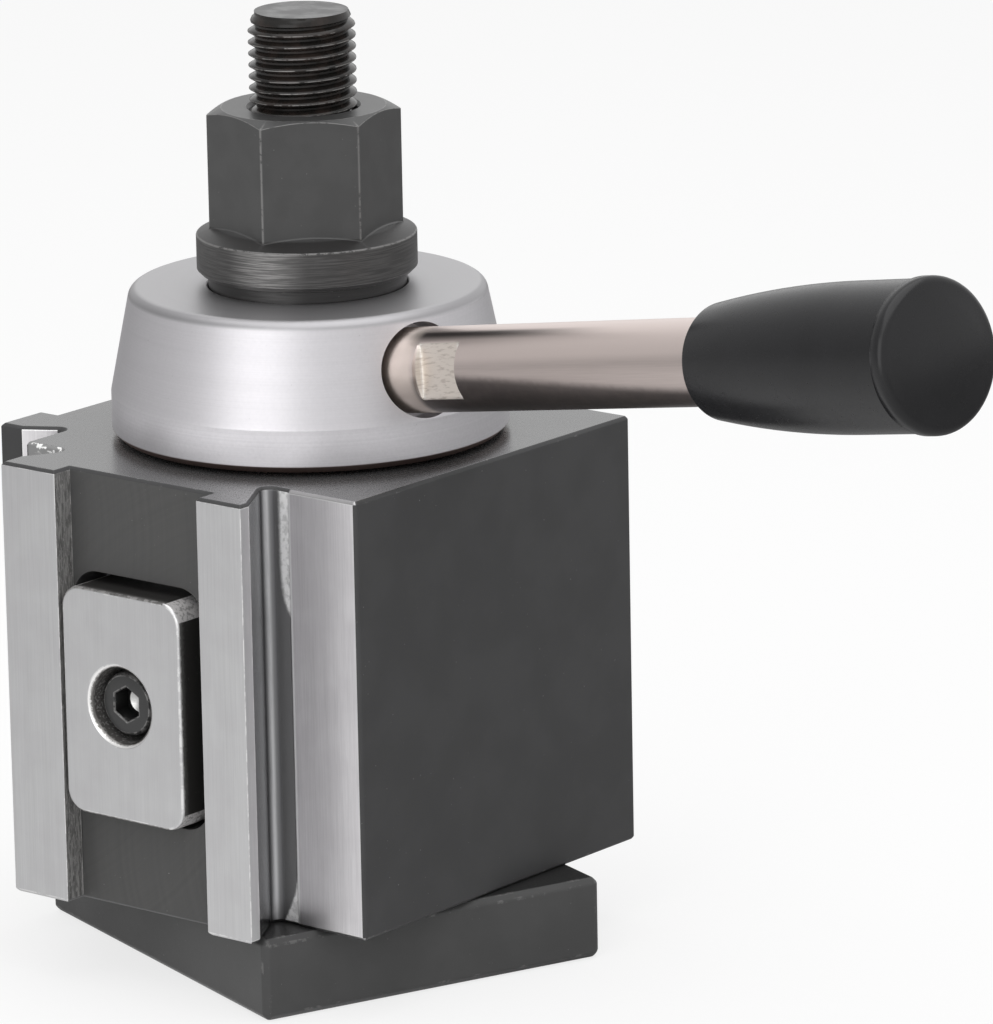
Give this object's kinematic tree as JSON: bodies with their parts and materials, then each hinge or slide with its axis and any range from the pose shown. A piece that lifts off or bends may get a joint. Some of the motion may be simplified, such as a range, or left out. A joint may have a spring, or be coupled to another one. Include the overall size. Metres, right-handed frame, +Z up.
{
  "type": "lathe tool holder",
  "caption": "Square quick-change tool post with two dovetail sides, locking plates, a cone hub with a bar handle, and a centre stud with a flanged nut on a T-nut.",
  "frame": {"origin": "middle of the T-nut's underside, on the axis of the centre stud", "axes": "+Z up along the centre stud; -Y is the way the front dovetail looks, -X the way the side dovetail looks, and the handle points towards +X at rest"},
  "size_m": [0.1558, 0.0699, 0.1248],
  "materials": {
    "blackened_body": "black oxide steel with ground dovetails",
    "blackened_steel": "black oxide",
    "turned_steel": "satin turned steel",
    "ground_steel": "ground steel",
    "plated_rod": "dull nickel plating",
    "black_grip": "satin black moulding",
    "screw_steel": "black oxide, knurled head",
    "inner_steel": "turned steel, inside",
    "bronze": "turned bronze",
    "spring_steel": "spring steel"
  },
  "bodies": {
    "base": {"t_nut": "blackened_steel", "centre_stud": "blackened_steel"},
    "post": {"post_body": "blackened_body", "centre_sleeve": "blackened_steel", "retaining_ring": "spring_steel", "thrust_washer": "bronze", "front_keeper_pin": "inner_steel", "side_keeper_pin": "inner_steel"},
    "cam": {"cam_drum": "inner_steel", "hub_dowel_pins": "inner_steel", "handle_hub": "turned_steel", "handle_rod": "plated_rod", "handle_grip": "black_grip"},
    "nut": {"clamp_nut": "blackened_steel"},
    "front_lock": {"front_piston": "inner_steel", "front_lock_plate": "ground_steel", "front_plate_screw": "screw_steel"},
    "side_lock": {"side_piston": "inner_steel", "side_lock_plate": "ground_steel", "side_plate_screw": "screw_steel"}
  },
  "joints": [
    {"name": "post_swivel", "type": "hinge", "parent": "base", "child": "post", "pos_m": [0, 0, 0.011], "axis": [0, 0, 1], "continuous": true},
    {"name": "handle_swing", "type": "hinge", "parent": "post", "child": "cam", "pos_m": [0, 0, 0.0695], "axis": [0, 0, -1], "range_deg": [-5, 50]},
    {"name": "front_lock_slide", "type": "slide", "parent": "post", "child": "front_lock", "axis": [0, -1, 0], "range_m": [-0.00011, 0.00101]},
    {"name": "side_lock_slide", "type": "slide", "parent": "post", "child": "side_lock", "axis": [-1, 0, 0], "range_m": [-0.00011, 0.00101]},
    {"name": "nut_turn", "type": "hinge", "parent": "base", "child": "nut", "pos_m": [0, 0, 0.0905], "axis": [0, 0, 1], "continuous": true}
  ],
  "couplings": [
    {"joint": "front_lock_slide", "follows": "handle_swing", "m_per_rad": 0.0011459},
    {"joint": "side_lock_slide", "follows": "handle_swing", "m_per_rad": 0.0011459}
  ]
}
